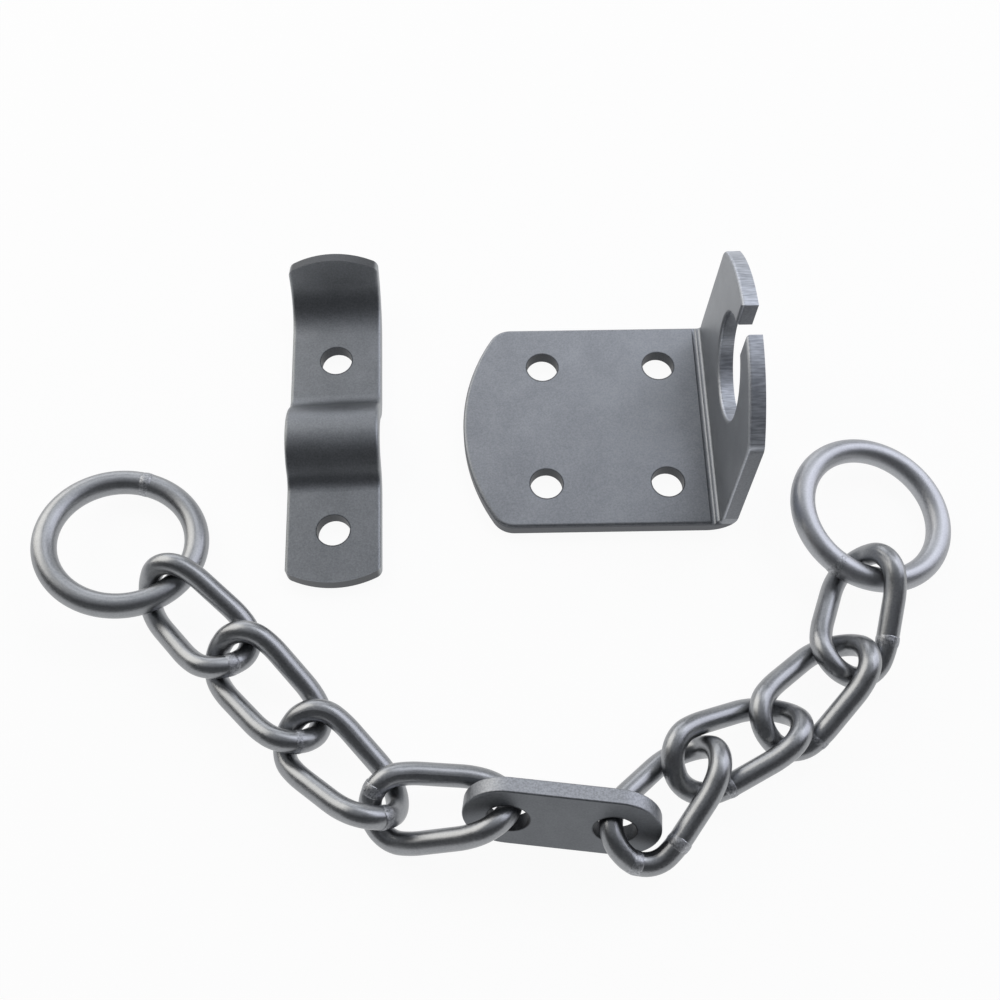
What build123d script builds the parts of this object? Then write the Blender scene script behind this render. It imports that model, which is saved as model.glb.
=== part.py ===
from build123d import *
import os
from math import atan2, cos, degrees, radians, sin, sqrt, tan

# A door chain laid out on a table, as it comes out of its packet: the keeper bracket, the staple strap and the
# chain, which has a ring at each end and a flat tag plate in the middle.
# Millimetres, +Z up, table top at z = 0, +Y away from the viewer.
# The origin is the middle of the bracket's four screw holes, on its mounting face.

# Sheet metal of the bracket and the strap
sheet = 2.5
edge_roll = 0.6  # rounding of the edges on the punch side
screw_hole = 5.4

# Keeper bracket: screw plate along X, flange upright at its right-hand end
keeper_width = 38.0
keeper_holes_x = 20.1  # hole spacing along X
keeper_holes_y = 22.4  # hole spacing along Y
keeper_plate_reach = 17.6  # from the hole pattern's middle to the corners of the plate's arched end
keeper_crease_reach = 18.0  # from the hole pattern's middle to the inside of the fold
keeper_plate_arch = 6.2  # how far the plate's end stands out past its corners
keeper_plate_corner = 4.0
flange_side_height = 26.0
flange_shoulder = 35.6  # the flange tapers to this width at its corners
flange_arch = 7.2  # how far the flange's top stands up past its corners
flange_corner = 2.0
bend_outside = 4.5
bend_inside = 0.6
bend_groove = 0.5  # radius of the tool mark beside the fold
bend_groove_depth = 0.25
keyhole_diameter = 16.6
keyhole_height = 20.1
keyhole_slot_play = 1.2  # what the slot is wider than the ring's wire

# Staple strap: runs along Y, with the hump over a captive ring and an upturned rest at the back
strap_place = (-45.4, -2.9)  # middle between its screw holes
strap_turn = 1.5  # how far it lies turned, from +X towards +Y
strap_width = 15.5
strap_hole_spacing = 32.2
strap_front_margin = 9.1  # from the front hole to the tip of the strap
strap_arch = 2.0
strap_corner = 1.5
hump_play = 1.0  # headroom over the ring's wire
hump_crown = 6.5  # bend radii at mid thickness
hump_foot = 4.5
rest_margin = 5.6  # from the back hole to where the strap turns up
rest_bend = 9.25
rest_angle = 65.0
rest_tail = 4.5

# Chain wire
ring_diameter = 27.2
ring_wire = 3.9
link_length = 24.0
link_width = 13.4
link_wire = 3.4
link_twist = 45.0  # turn of each end loop out of the link's middle plane
shoulder_twist = 16.0
shoulder_reach = 4.4  # where the sides start to turn, from the link's middle
shoulder_bend = 0.98  # share of the free wire that the bends at the shoulders take up
end_bar = 0.3  # straight run at the tip of each end loop, each side of its middle

# Tag plate
tag_length = 28.5
tag_width = 13.0
tag_thickness = 2.6
tag_hole = 6.2
tag_hole_spacing = 15.2
tag_edge = 0.3

# How the chain lies, from the tag plate outwards. Headings turn from +X towards +Y.
tag_place = (-9.9, -65.8)
tag_heading = -7.1
tag_lean = 23.3  # of the plate from upright, top edge away from the viewer

# One row per link: heading of its outer end, how far that end is raised, roll about its own length, all in degrees,
# then where its inner end loop sits. For the first link that is along and behind the tag plate from the middle of
# the hole; for the others, slack behind the loop it hangs in, and shift to its left.
left_links = {
    "link_4": (179.2, -8.2, 6.0, 0.2, 0.8),
    "link_3": (137.1, -2.9, 14.8, 0.0, 0.0),
    "link_2": (133.6, 2.4, 2.4, 0.3, -0.4),
    "link_1": (135.8, -0.1, -12.2, 0.6, 0.3),
}
right_links = {
    "link_5": (47.4, -3.1, -18.7, 1.4, -4.2),
    "link_6": (22.9, -2.9, -10.5, 3.3, 0.2),
    "link_7": (42.4, 1.0, -13.3, 1.9, -0.2),
    "link_8": (71.2, 0.9, -17.2, 1.8, -0.3),
}

# Each ring: bearing of its middle from the outer end of the last link, how far that end reaches in past the wire's
# middle, the heading its raised side lies at, and its tilt
ring_left_lay = (133.7, 3.8, 223.3, 14.2)
ring_right_lay = (79.0, 4.1, 190.9, 11.0)


def arched_strip(side, arch, corner):
    """A strip along +X with an arched end. Its side is given as (x, half width) from its foot to its corner."""
    reach, half = side[-1]
    other_side = [(x, -y) for x, y in side]
    sides = Polyline(*reversed(side), *other_side)
    end = ThreePointArc((reach, -half), (reach + arch, 0), (reach, half))
    outline = make_face(sides.edges() + end.edges())
    corners = outline.vertices().group_by(Axis.X)[-1]
    return fillet(corners, corner)


def keeper_bracket():
    """The folded keeper, with its back on the table."""
    half = keeper_width / 2
    inside = keeper_crease_reach
    outside = inside + sheet
    tip = keeper_plate_reach + keeper_plate_arch
    top = flange_side_height + flange_arch
    angle = Polyline(
        (-tip, 0), (outside, 0), (outside, top), (inside, top), (inside, sheet), (-tip, sheet), close=True
    )
    section = make_face(angle.edges())
    outer_corner = section.vertices().sort_by_distance((outside, 0))[0]
    section = fillet(outer_corner, bend_outside)
    inner_corner = section.vertices().sort_by_distance((inside, sheet))[0]
    section = fillet(inner_corner, bend_inside)
    folded = extrude(Plane.XZ * section, half, both=True)

    plan_side = [(0, half), (outside + keeper_plate_reach, half)]
    plan = arched_strip(plan_side, keeper_plate_arch, keeper_plate_corner)
    plan_plane = Plane(origin=(outside, 0, 0), x_dir=(-1, 0, 0), z_dir=(0, 0, 1))
    front_side = [(0, half), (bend_outside, half), (flange_side_height, flange_shoulder / 2)]
    front = arched_strip(front_side, flange_arch, flange_corner)
    front_plane = Plane(origin=(-tip, 0, 0), x_dir=(0, 0, 1), z_dir=(1, 0, 0))
    bracket = folded & extrude(plan_plane * plan, top) & extrude(front_plane * front, tip + outside)

    slot_width = ring_wire + keyhole_slot_play
    through = Plane(origin=(inside + sheet / 2, 0, keyhole_height), x_dir=(0, 1, 0), z_dir=(1, 0, 0))
    slot_length = top - keyhole_height
    keyhole = through * Cylinder(keyhole_diameter / 2, 3 * sheet)
    slot = through * Pos(0, slot_length, 0) * Box(slot_width, 2 * slot_length, 3 * sheet)
    bracket -= keyhole + slot

    plate_top = bracket.faces().filter_by(Axis.Z).sort_by_distance((0, 0, sheet))[0]
    flange_inside = bracket.faces().filter_by(Axis.X).sort_by_distance((inside, 0, 0))[0]
    rims = plate_top.outer_wire().edges() + flange_inside.outer_wire().edges()
    crease = [e for e in rims.filter_by(Axis.Y) if e.center().X > inside - 2 * bend_inside]
    bracket = fillet([e for e in rims if e not in crease], edge_roll)

    holes = GridLocations(keeper_holes_x, keeper_holes_y, 2, 2)
    bracket -= holes * Cylinder(screw_hole / 2, 3 * sheet)
    groove_x = inside - bend_inside - bend_groove
    groove = Pos(groove_x, 0, sheet + bend_groove - bend_groove_depth) * Rot(90, 0, 0)
    return bracket - groove * Cylinder(bend_groove, 2 * keeper_width)


def staple_strap():
    """The pressed strap, lying along Y with the middle between its screw holes at the origin."""
    middle = sheet / 2
    rise = ring_wire + hump_play
    reach = sqrt(2 * (hump_foot + hump_crown) * rise - rise**2)  # where the hump's feet leave the flat
    slope = degrees(atan2(reach, hump_foot + hump_crown - rise))
    front_tip = -strap_hole_spacing / 2 - strap_front_margin
    turn_up = strap_hole_spacing / 2 + rest_margin

    front = Line((front_tip, middle), (-reach, middle))
    up = JernArc(front @ 1, front % 1, hump_foot, slope)
    over = JernArc(up @ 1, up % 1, hump_crown, -2 * slope)
    down = JernArc(over @ 1, over % 1, hump_foot, slope)
    back = Line(down @ 1, (turn_up, middle))
    curl = JernArc(back @ 1, back % 1, rest_bend, rest_angle)
    tail = PolarLine(curl @ 1, rest_tail, rest_angle)
    spine = Plane.YZ * Wire((front + up + over + down + back + curl + tail).edges())

    blank = Rectangle(strap_width, sheet)
    blank = fillet(blank.vertices().group_by(Axis.Y)[-1], edge_roll)
    strap = sweep(Plane(origin=spine @ 0, x_dir=(-1, 0, 0), z_dir=spine % 0) * blank, path=spine)

    end_side = [(0, strap_width / 2), (strap_width, strap_width / 2)]
    end = arched_strip(end_side, strap_arch, strap_corner)
    waste = Pos(strap_width, 0) * Rectangle(strap_width, 2 * strap_width) - end
    front_end = Plane(origin=spine @ 0, x_dir=-(spine % 0), z_dir=(0, 0, 1))
    tail_normal = (spine % 1).cross(Vector(1, 0, 0))
    tail_end = Plane(origin=spine @ 1, x_dir=spine % 1, z_dir=tail_normal)
    for plane in (front_end, tail_end):
        cutter = plane * Pos(-strap_width - strap_arch, 0) * waste
        strap -= extrude(cutter, sheet, both=True)
    return strap - GridLocations(0, strap_hole_spacing, 1, 2) * Cylinder(screw_hole / 2, 3 * sheet)


def link_side():
    """Middle line of one side of a link along X, from the tip of one end loop to the tip of the other."""
    tip = (link_length - link_wire) / 2
    half = (link_width - link_wire) / 2

    def corner(x, turn):
        return Vector(x, half * cos(radians(turn)), half * sin(radians(turn)))

    loop, shoulder = corner(tip, -link_twist), corner(shoulder_reach, -shoulder_twist)
    far_shoulder, far_loop = corner(-shoulder_reach, shoulder_twist), corner(-tip, link_twist)
    loop_cut = half - end_bar
    shoulder_cut = shoulder_bend * min((shoulder - loop).length - loop_cut, (far_shoulder - shoulder).length / 2)
    loop_turn = (loop - Vector(tip, 0, 0)).get_angle(shoulder - loop)
    shoulder_turn = (shoulder - loop).get_angle(far_shoulder - shoulder)
    loop_radius = loop_cut / tan(radians(loop_turn / 2))
    shoulder_radius = shoulder_cut / tan(radians(shoulder_turn / 2))
    return FilletPolyline(
        (tip, 0, 0), loop, shoulder, far_shoulder, far_loop, (-tip, 0, 0),
        radius=[loop_radius, shoulder_radius, shoulder_radius, loop_radius],
    )


def link():
    """A twisted link along X with its middle at the origin: each end loop turned out of the middle plane."""
    side = link_side()
    half_link = sweep(Plane(origin=side @ 0, z_dir=side % 0) * Circle(link_wire / 2), path=side)
    return half_link + half_link.rotate(Axis.X, 180)


def ring():
    """A welded ring about Z with its middle at the origin."""
    return Torus((ring_diameter - ring_wire) / 2, ring_wire / 2)


def tag_plate():
    """The flat plate between the two halves of the chain, in the XY plane with its middle at the origin."""
    plate = extrude(SlotOverall(tag_length, tag_width), tag_thickness / 2, both=True)
    plate = fillet(plate.edges().filter_by(Plane.XY), tag_edge)
    return plate - GridLocations(tag_hole_spacing, 0, 2, 1) * Cylinder(tag_hole / 2, 2 * tag_thickness)


def heading_vector(heading):
    """Unit vector on the table."""
    return Vector(cos(radians(heading)), sin(radians(heading)), 0)


def rest_on_table(shape, place):
    """The place, lifted or lowered so that the shape in it just touches the table."""
    low = (place * shape).bounding_box().min.Z
    return Pos(0, 0, -low) * place


def tag_location():
    """Where the tag plate stands on its edge, leaning back."""
    upright = Rot(0, 0, tag_heading) * Rot(90 - tag_lean, 0, 0)
    return rest_on_table(tag_plate(), Pos(*tag_place) * upright)


def lay_out_half(places, links, ring_name, ring_lay, side):
    """Place one half of the chain, link by link outwards from the tag plate, then its ring."""
    tip = (link_length - link_wire) / 2
    shape = link()
    end = Vector(*tag_place) + heading_vector(tag_heading) * (side * tag_hole_spacing / 2)
    before = None
    for name, (heading, pitch, roll, first, second) in links.items():
        if before is None:
            start = end + heading_vector(tag_heading) * first + heading_vector(tag_heading + 90) * second
        else:
            between = (before + heading) / 2
            start = end - heading_vector(between) * (link_wire + first) + heading_vector(between + 90) * second
        half_run = heading_vector(heading) * (tip * cos(radians(pitch)))
        middle = start + half_run
        turned = Rot(0, 0, heading) * Rot(0, -pitch, 0) * Rot(roll, 0, 0)
        places[name] = rest_on_table(shape, Pos(middle) * turned)
        end = middle + half_run
        before = heading

    bearing, inset, raised, tilt = ring_lay
    middle = end + heading_vector(bearing) * ((ring_diameter - ring_wire) / 2 - inset)
    places[ring_name] = rest_on_table(ring(), Pos(middle) * Rot(0, 0, raised) * Rot(0, -tilt, 0))


def chain_places():
    """Where every piece of the chain lies."""
    places = {"tag_plate": tag_location()}
    lay_out_half(places, left_links, "ring_left", ring_left_lay, -1)
    lay_out_half(places, right_links, "ring_right", ring_right_lay, 1)
    return places


def all_pieces():
    """Every piece in its place, by name."""
    shapes = {"tag_plate": tag_plate(), "ring_left": ring(), "ring_right": ring()}
    link_shape = link()
    strap_location = Pos(*strap_place) * Rot(0, 0, strap_turn)
    pieces = {"keeper_bracket": keeper_bracket(), "staple_strap": strap_location * staple_strap()}
    for name, place in chain_places().items():
        pieces[name] = place * shapes.get(name, link_shape)
    return pieces


if __name__ == "__main__":
    os.makedirs("parts", exist_ok=True)
    for name, piece in all_pieces().items():
        export_step(piece, f"parts/{name}.step")
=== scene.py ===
from math import cos, radians, sin

import bmesh
import bpy
from mathutils import Matrix, Vector, noise


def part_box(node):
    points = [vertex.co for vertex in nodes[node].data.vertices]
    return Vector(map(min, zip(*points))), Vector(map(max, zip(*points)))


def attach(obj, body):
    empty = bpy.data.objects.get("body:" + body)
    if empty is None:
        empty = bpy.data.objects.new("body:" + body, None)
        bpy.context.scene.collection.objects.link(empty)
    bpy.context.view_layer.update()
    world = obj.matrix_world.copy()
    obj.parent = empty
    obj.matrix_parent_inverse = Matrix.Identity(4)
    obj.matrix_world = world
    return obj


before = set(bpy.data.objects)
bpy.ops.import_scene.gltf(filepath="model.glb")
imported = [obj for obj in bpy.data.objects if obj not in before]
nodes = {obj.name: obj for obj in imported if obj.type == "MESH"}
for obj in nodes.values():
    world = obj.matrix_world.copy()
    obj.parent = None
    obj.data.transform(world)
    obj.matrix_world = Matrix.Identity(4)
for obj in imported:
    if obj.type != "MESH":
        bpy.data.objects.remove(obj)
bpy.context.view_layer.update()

# A door chain set on a white table: the pieces' finishes with their painted light and shade, the welds, the
# table, the light and the camera

mm = 0.001

# Camera: looks down on the table, a little to the right of straight away
aim = Vector((-17.8, -12.9, 0.0)) * mm
camera_elevation = 64.96
camera_turn = 1.0  # degrees, from +Y towards +X
camera_distance = 194.0 * mm
sensor_width = 36.0
focal_share = 1.1638  # focal length over the width of the picture
nearest_seen = 10.0 * mm

# Table: round, white to the eye, with a soft shadow, and a low white wall round it as a backdrop
table_radius = 6.0
table_sides = 96
backdrop_height = 1.05
table_colour = "#f2f2f2"
table_glow = 0.94  # how much of the table's white is there without the lamps

# Surround: darkest above the viewer, paler overhead and behind the set
bright_way = (0.0, 0.75, 0.66)
surround = ((0.0, "#6a6b6d"), (0.3, "#424345"), (0.7, "#aaacb0"), (1.0, "#cccfd4"))

# Lamps: place in metres, size in metres, power in watts, colour
lamps = {
    "right_softbox": ((0.46, 0.22, 0.30), (0.45, 0.60), 1.5, "#f3f4ff"),
    "left_softbox": ((-0.42, 0.28, 0.28), (0.45, 0.50), 1.5, "#fffaf0"),
    "back_softbox": ((0.20, 0.50, 0.65), (0.60, 0.35), 0.9, "#fafbff"),
    "low_softbox": ((-0.15, 0.60, 0.17), (0.45, 0.25), 0.5, "#fbfcff"),
}

# Steel: how large its clouding, grain and specks are, and how deep the grain is, in millimetres
cloud_size = 5.0
grain_size = 0.3  # the real grain is finer, and is drawn this coarse so that it shows
speck_size = 0.3  # and so are the specks of a sheared edge
sheet_grain = 0.0012
wire_grain = 0.0002
weld_grain = 0.006
grain_share = 0.7  # of the tone, against the clouding
tone_span = (0.35, 0.65)  # the pattern's values that get the darker and the lighter colour
gloss_spread = 0.05  # how far the roughness goes to either side

# How squarely a surface faces a way, where a finish, a painted highlight or a painted shade starts to show
# and where it shows in full
sheet_edge = (0.75, 0.4)
flange_shade_facing = (0.85, 0.97)
strap_side_highlight = (0.3, 0.8)
strap_end_shade = (0.55, 0.85)
tag_rim_highlight = (0.85, 0.5)

# Where the pieces' edges and holes are, in millimetres and degrees
blur = 0.2  # over which one finish passes into the next
hole_shade_margin = 0.05  # how far past a hole's bore its wall's painted shade is full
sheet = 2.5
screw_hole = 5.4
keeper_holes = (20.1, 22.4)
fold = 17.9
bend_outside = 4.5
strap_middle = (-45.4, -2.9, 0.0)
strap_turn = 1.5
strap_hole_spacing = 32.2
strap_rest_angle = 65.0
strap_rest_height = 8.0  # only the upturned end reaches higher
strap_tip_reach = -25.0  # only the front tip lies nearer the viewer
tag_heading = -7.1
tag_lean = 23.3
tag_hole = 6.2
tag_hole_spacing = 15.2

# Welds round the wire of each ring and link, at these places (x, y) on its middle line, in millimetres
ring_wire = 3.9
link_wire = 3.4
weld_reach = 1.8
weld_proud = 0.13
weld_sunk = 0.05
weld_lump = 0.7
weld_sides = 36
weld_cuts = 11
weld_places = {
    "ring_left": [(-76.1, -10.3)],
    "link_1": [(-59.1, -42.3)],
    "link_2": [(-48.3, -54.3)],
    "link_3": [(-35.3, -65.6)],
    "link_4": [(-36.9, -61.3)],
    "link_5": [(0.3, -72.2), (6.5, -69.7)],
    "link_6": [(14.5, -61.7)],
    "link_7": [(28.6, -54.7)],
    "link_8": [(41.0, -40.2)],
    "ring_right": [(35.0, -27.6)],
}

x_axis, y_axis, z_axis = Vector((1.0, 0.0, 0.0)), Vector((0.0, 1.0, 0.0)), Vector((0.0, 0.0, 1.0))


def linear(hex_colour):
    """An sRGB hex colour as linear RGBA."""
    channels = [int(hex_colour[i:i + 2], 16) / 255 for i in (1, 3, 5)]
    return [c / 12.92 if c <= 0.04045 else ((c + 0.055) / 1.055) ** 2.4 for c in channels] + [1.0]


def add(tree, kind, settings=None, **inputs):
    """Add a node with its settings. An input, by its name or as _number, is a value or a socket to link."""
    node = tree.nodes.new(kind)
    for name, value in (settings or {}).items():
        setattr(node, name, value)
    for name, value in inputs.items():
        socket = node.inputs[int(name[1:])] if name[1:].isdigit() else node.inputs[name.replace("_", " ")]
        if isinstance(value, bpy.types.NodeSocket):
            tree.links.new(value, socket)
        else:
            socket.default_value = value
    return node


def new_material(name):
    """An empty node material and its tree."""
    material = bpy.data.materials.new(name)
    material.use_nodes = True
    material.node_tree.nodes.clear()
    return material, material.node_tree


def set_ramp(node, *stops):
    """Give a colour ramp these (position, colour) stops."""
    ramp = node.color_ramp
    while len(ramp.elements) < len(stops):
        ramp.elements.new(1.0)
    for element, (position, colour) in zip(ramp.elements, stops):
        element.position = position
        element.color = linear(colour)


def steel(name, dark, light, roughness, grain_depth):
    """Tumbled steel with a fine grain and faint clouding."""
    material, tree = new_material(name)
    place = add(tree, "ShaderNodeTexCoord").outputs["Object"]
    clouds = add(
        tree, "ShaderNodeTexNoise", Vector=place, Scale=1 / (cloud_size * mm), Detail=3.0, Roughness=0.6,
    )
    marks = add(
        tree, "ShaderNodeTexNoise", Vector=place, Scale=1 / (grain_size * mm), Detail=3.0, Roughness=0.65,
    )
    tone = add(
        tree, "ShaderNodeMix", {"data_type": "FLOAT"},
        Factor=grain_share, A=clouds.outputs["Fac"], B=marks.outputs["Fac"],
    )
    colour = add(tree, "ShaderNodeValToRGB", Fac=tone.outputs["Result"])
    set_ramp(colour, *zip(tone_span, (dark, light)))
    gloss = add(
        tree, "ShaderNodeMapRange", Value=marks.outputs["Fac"], From_Min=0.3, From_Max=0.7,
        To_Min=roughness - gloss_spread, To_Max=roughness + gloss_spread,
    )
    relief = add(tree, "ShaderNodeBump", Height=marks.outputs["Fac"], Strength=1.0, Distance=grain_depth * mm)
    surface = add(
        tree, "ShaderNodeBsdfPrincipled", {"name": "steel_surface"}, Base_Color=colour.outputs["Color"],
        Metallic=1.0, Roughness=gloss.outputs["Result"], Normal=relief.outputs["Normal"],
    )
    add(tree, "ShaderNodeOutputMaterial", Surface=surface.outputs["BSDF"])
    return material


def lay_over(material, share, dark, light, drawn=(1.0, 1.0, 1.0)):
    """Give the steel a speckled colour where share is 1, its specks drawn out along an axis below 1."""
    tree = material.node_tree
    place = add(tree, "ShaderNodeTexCoord").outputs["Object"]
    place = add(tree, "ShaderNodeMapping", Vector=place, Scale=drawn).outputs["Vector"]
    specks = add(
        tree, "ShaderNodeTexNoise", Vector=place, Scale=1 / (speck_size * mm), Detail=2.0, Roughness=0.5,
    )
    colour = add(tree, "ShaderNodeValToRGB", Fac=specks.outputs["Fac"])
    set_ramp(colour, *zip(tone_span, (dark, light)))
    base = tree.nodes["steel_surface"].inputs["Base Color"]
    under = base.links[0].from_socket
    # A mix node's colours go in at sockets 6 and 7, and come out at 2
    mixed = add(tree, "ShaderNodeMix", {"data_type": "RGBA"}, _0=share, _6=under, _7=colour.outputs["Color"])
    tree.links.new(mixed.outputs[2], base)


def facing(tree, way):
    """How squarely a surface faces along way, to either side: 1 square on, 0 edge on."""
    normal = add(tree, "ShaderNodeTexCoord").outputs["Normal"]
    along = add(tree, "ShaderNodeVectorMath", {"operation": "DOT_PRODUCT"}, _0=normal, _1=way)
    return add(tree, "ShaderNodeMath", {"operation": "ABSOLUTE"}, _0=along.outputs["Value"]).outputs[0]


def share_within(tree, *limits):
    """How far all limits are met: each is a value, where it starts to count and where it counts in full."""
    share = 1.0
    for value, start, full in limits:
        met = add(tree, "ShaderNodeMapRange", Value=value, From_Min=start, From_Max=full)
        both = add(tree, "ShaderNodeMath", {"operation": "MULTIPLY"}, _0=share, _1=met.outputs["Result"])
        share = both.outputs[0]
    return share


def shade_hole_walls(material, holes, way, bore):
    """Paint shade on the walls of round holes along way: near black painted shade on each wall and a thin
    ring round its rim. Places are in metres, the bore in millimetres.
    """
    tree = material.node_tree
    place = add(tree, "ShaderNodeTexCoord").outputs["Object"]
    depth = add(tree, "ShaderNodeVectorMath", {"operation": "PROJECT"}, _0=place, _1=way).outputs["Vector"]
    flat = add(tree, "ShaderNodeVectorMath", {"operation": "SUBTRACT"}, _0=place, _1=depth).outputs["Vector"]
    wall = bore / 2 + hole_shade_margin
    for hole in holes:
        middle = hole - hole.project(way)
        away = add(tree, "ShaderNodeVectorMath", {"operation": "DISTANCE"}, _0=flat, _1=middle)
        share = share_within(tree, (away.outputs["Value"], (wall + blur) * mm, wall * mm))
        # Painted shade: the hole's wall and rim are painted near black, where they lie in shade
        lay_over(material, share, "#36383b", "#46484c")


def bracket_finish():
    """The keeper bracket's steel, with painted light and shade on its edges and painted shade in its screw
    holes.
    """
    # Blanked and folded stainless sheet, tumbled after pressing: an even satin grey with a very fine grain
    material = steel("tumbled_stainless_sheet", "#7f8287", "#979a9f", 0.48, sheet_grain)
    tree = material.node_tree
    place = add(tree, "ShaderNodeTexCoord").outputs["Object"]
    axes = add(tree, "ShaderNodeSeparateXYZ", Vector=place).outputs
    on_plate = (axes["Z"], (sheet + blur / 2) * mm, (sheet - blur / 2) * mm)
    past_fold = (axes["X"], (fold - blur) * mm, fold * mm)
    past_bend = (axes["Z"], (bend_outside - blur) * mm, bend_outside * mm)
    flange_edge = ((facing(tree, x_axis), *sheet_edge), past_fold, past_bend)
    # Its blanked edges carry painted light: painted shade on the plate, a painted highlight round the flange
    # over a torn grain drawn out across the sheet, and painted shade down its sides
    plate_edge_shade = ((facing(tree, z_axis), *sheet_edge), on_plate)
    # Painted shade: the plate's edge faces are painted dark
    lay_over(material, share_within(tree, *plate_edge_shade), "#55575b", "#5f6165")
    # Painted highlight over a real sheared streaking: the flange's edges are painted pale
    lay_over(material, share_within(tree, *flange_edge), "#9a9ea6", "#c0c4cc", (0.15, 1.0, 1.0))
    # Painted shade: the flange's edges that face along Y are painted duller
    flange_shaded_sides = (facing(tree, y_axis), *flange_shade_facing)
    lay_over(material, share_within(tree, *flange_edge, flange_shaded_sides), "#686b70", "#787b80")
    half_x, half_y = keeper_holes[0] / 2, keeper_holes[1] / 2
    holes = [Vector((x, y, 0.0)) * mm for x in (-half_x, half_x) for y in (-half_y, half_y)]
    shade_hole_walls(material, holes, z_axis, screw_hole)
    return material


def strap_finish():
    """The staple strap's steel, with a painted highlight on its edges and painted shade on its ends and in
    its screw holes.
    """
    # The same sheet, a shade darker where the press tool drew it, with a painted highlight down its long
    # edges and painted shade on its end faces
    material = steel("pressed_stainless_strip", "#6f7276", "#85888c", 0.46, sheet_grain)
    tree = material.node_tree
    turn, rest = radians(strap_turn), radians(strap_rest_angle)
    across = Vector((cos(turn), sin(turn), 0.0))
    along = Vector((-sin(turn), cos(turn), 0.0))
    upturn = along * cos(rest) + z_axis * sin(rest)
    # Painted highlight: the long side edges are painted pale
    lay_over(material, share_within(tree, (facing(tree, across), *strap_side_highlight)), "#8f9295", "#9fa2a4")
    place = add(tree, "ShaderNodeTexCoord").outputs["Object"]
    axes = add(tree, "ShaderNodeSeparateXYZ", Vector=place).outputs
    raised = (axes["Z"], (strap_rest_height - blur) * mm, (strap_rest_height + blur) * mm)
    in_front = (axes["Y"], (strap_tip_reach + blur) * mm, (strap_tip_reach - blur) * mm)
    # Painted shade: the end faces of the upturned end and the front tip are painted dark
    for way, where in ((upturn, raised), (along, in_front)):
        lay_over(material, share_within(tree, where, (facing(tree, way), *strap_end_shade)), "#45474a", "#525457")
    to_hole = along * strap_hole_spacing / 2
    holes = [(Vector(strap_middle) + side * to_hole) * mm for side in (-1, 1)]
    shade_hole_walls(material, holes, z_axis, screw_hole)
    return material


def tag_finish():
    """The tag plate's steel, with a painted highlight on its rim and painted shade in its two holes."""
    # Blanked flat plate: a darker satin grey, with pale edges all round as a painted highlight
    material = steel("tumbled_stainless_plate", "#606367", "#727579", 0.46, sheet_grain)
    tree = material.node_tree
    lean, heading = radians(tag_lean), radians(tag_heading)
    face = Vector((sin(heading) * cos(lean), -cos(heading) * cos(lean), sin(lean)))
    # Painted highlight: the rim is painted pale
    lay_over(material, share_within(tree, (facing(tree, face), *tag_rim_highlight)), "#86888c", "#9c9fa4")
    low, high = (Vector(corner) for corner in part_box("tag_plate"))
    to_hole = Vector((cos(heading), sin(heading), 0.0)) * tag_hole_spacing / 2 * mm
    holes = [(low + high) / 2 + side * to_hole for side in (-1, 1)]
    shade_hole_walls(material, holes, face, tag_hole)
    return material


def make_weld(name, body, place, wire):
    """The lumpy joint round a ring's or a link's wire, near a place on its middle line."""
    spot = Vector(place) * mm
    radius = wire / 2 * mm
    faces = [face for face in nodes[body].data.polygons if (face.center.xy - spot).length < 2 * radius]
    middles = [face.center - face.normal * radius for face in faces]
    centre = sum(middles, Vector()) / len(middles)
    one_end = max(middles, key=lambda middle: (middle - centre).length)
    other_end = max(middles, key=lambda middle: (middle - one_end).length)
    near = min(middles, key=lambda middle: (middle.xy - spot).length)

    bm = bmesh.new()
    reach = weld_reach * mm
    bmesh.ops.create_cone(bm, cap_ends=True, segments=weld_sides, radius1=radius, radius2=radius, depth=reach)
    lengthways = [edge for edge in bm.edges if abs(edge.verts[0].co.z - edge.verts[1].co.z) > reach / 2]
    bmesh.ops.subdivide_edges(bm, edges=lengthways, cuts=weld_cuts, use_grid_fill=True)
    # Proud and lumpy in the middle, and sunk into the wire at both ends
    for vertex in bm.verts:
        share = (2 * vertex.co.z / reach) ** 2
        lump = noise.noise((vertex.co + near) / (weld_lump * mm))
        swell = weld_proud * (1 - share) * (0.5 + 0.5 * lump) - weld_sunk * share
        vertex.co += Vector((vertex.co.x, vertex.co.y, 0)).normalized() * swell * mm
    turn = (one_end - other_end).to_track_quat("Z", "Y").to_matrix().to_4x4()
    bm.transform(Matrix.Translation(near) @ turn)
    for face in bm.faces:
        face.smooth = True
    mesh = bpy.data.meshes.new(name)
    bm.to_mesh(mesh)
    bm.free()
    mesh.materials.append(weld_steel)
    weld = bpy.data.objects.new(name, mesh)
    bpy.context.scene.collection.objects.link(weld)
    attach(weld, body)


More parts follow.
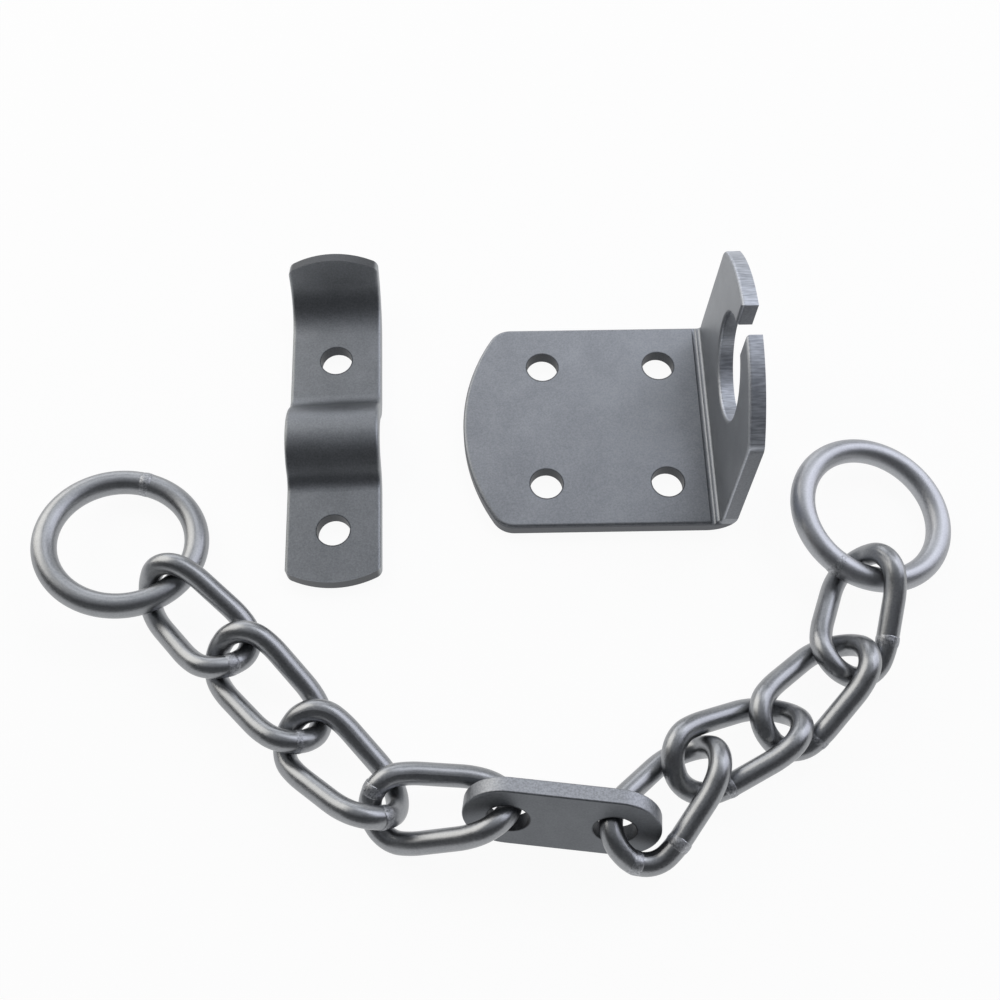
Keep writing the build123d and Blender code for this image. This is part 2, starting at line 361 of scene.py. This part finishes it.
def make_table():
    """The pale table top and backdrop, white to the eye, which still take the shadows."""
    bm = bmesh.new()
    bmesh.ops.create_circle(bm, cap_ends=True, segments=table_sides, radius=table_radius)
    rim = [edge for edge in bm.edges if edge.is_boundary]
    wall = bmesh.ops.extrude_edge_only(bm, edges=rim)["geom"]
    top = [item for item in wall if isinstance(item, bmesh.types.BMVert)]
    bmesh.ops.translate(bm, verts=top, vec=(0.0, 0.0, backdrop_height))
    mesh = bpy.data.meshes.new("table")
    bm.to_mesh(mesh)
    bm.free()
    table = bpy.data.objects.new("table", mesh)
    bpy.context.scene.collection.objects.link(table)

    # Matt white paper, which looks white where no shadow falls
    material, tree = new_material("white_paper")
    ray = add(tree, "ShaderNodeLightPath").outputs
    seen = ray["Is Camera Ray"]
    for kind in ("Is Glossy Ray", "Is Transmission Ray"):
        seen = add(tree, "ShaderNodeMath", {"operation": "MAXIMUM"}, _0=seen, _1=ray[kind]).outputs[0]
    share = add(tree, "ShaderNodeMath", {"operation": "MULTIPLY"}, _0=seen, _1=table_glow).outputs[0]
    matt = add(tree, "ShaderNodeBsdfDiffuse", Color=linear(table_colour)).outputs["BSDF"]
    glow = add(tree, "ShaderNodeEmission", Color=(1.0, 1.0, 1.0, 1.0), Strength=1.0).outputs["Emission"]
    both = add(tree, "ShaderNodeMixShader", _0=share, _1=matt, _2=glow)
    add(tree, "ShaderNodeOutputMaterial", Surface=both.outputs["Shader"])
    mesh.materials.append(material)


def make_world():
    """A plain studio surround, graded from the viewer's side to overhead and behind."""
    world = bpy.data.worlds.new("studio")
    bpy.context.scene.world = world
    world.use_nodes = True
    tree = world.node_tree
    tree.nodes.clear()
    way = add(tree, "ShaderNodeTexCoord").outputs["Generated"]
    height = add(tree, "ShaderNodeVectorMath", {"operation": "DOT_PRODUCT"}, _0=way, _1=bright_way)
    sky = add(tree, "ShaderNodeValToRGB", Fac=height.outputs["Value"])
    set_ramp(sky, *surround)
    light = add(tree, "ShaderNodeBackground", Color=sky.outputs["Color"], Strength=1.0)
    add(tree, "ShaderNodeOutputWorld", Surface=light.outputs["Background"])


def make_lamp(name, place, size, power, colour):
    """A soft box aimed at the middle of the set."""
    lamp = bpy.data.lights.new(name, "AREA")
    lamp.shape = "RECTANGLE"
    lamp.size, lamp.size_y = size
    lamp.energy = power
    lamp.color = linear(colour)[:3]
    box = bpy.data.objects.new(name, lamp)
    box.location = place
    box.rotation_euler = (aim - Vector(place)).to_track_quat("-Z", "Y").to_euler()
    bpy.context.scene.collection.objects.link(box)


def make_camera():
    """The camera at the height, distance and lens that the set is seen with."""
    elevation, turn = radians(camera_elevation), radians(camera_turn)
    look = Vector((sin(turn) * cos(elevation), cos(turn) * cos(elevation), -sin(elevation)))
    lens = bpy.data.cameras.new("camera")
    lens.sensor_width = sensor_width
    lens.lens = focal_share * sensor_width
    lens.clip_start = nearest_seen
    camera = bpy.data.objects.new("camera", lens)
    camera.location = aim - look * camera_distance
    camera.rotation_euler = look.to_track_quat("-Z", "Y").to_euler()
    bpy.context.scene.collection.objects.link(camera)
    bpy.context.scene.camera = camera


# Bent and welded stainless wire, barrel polished: soft broad highlights, with a slight grain
wire_steel = steel("barrel_polished_wire", "#87898c", "#9b9da0", 0.33, wire_grain)
# Where the wire's ends were welded together: rougher, with light and dark patches
weld_steel = steel("weld_flash", "#6c6e72", "#c0c2c6", 0.46, weld_grain)
# The rings are a softer satin than the links, and the right-hand one is painted paler, as painted light where
# the right-hand lamp falls on it
finishes = {
    "ring_left": steel("satin_ring_wire", "#898b8e", "#9d9fa2", 0.36, wire_grain),
    "ring_right": steel("satin_ring_wire_painted_paler", "#9c9ea2", "#b0b2b6", 0.42, wire_grain),
    "keeper_bracket": bracket_finish(),
    "staple_strap": strap_finish(),
    "tag_plate": tag_finish(),
}
for name, node in nodes.items():
    node.data.materials.clear()
    node.data.materials.append(finishes.get(name, wire_steel))

for body, places in weld_places.items():
    wire = ring_wire if body.startswith("ring") else link_wire
    for number, place in enumerate(places, 1):
        make_weld(f"{body}_weld_{number}", body, place, wire)
make_table()
make_world()
for name, settings in lamps.items():
    make_lamp(name, *settings)
make_camera()
bpy.context.scene.view_settings.view_transform = "Standard"
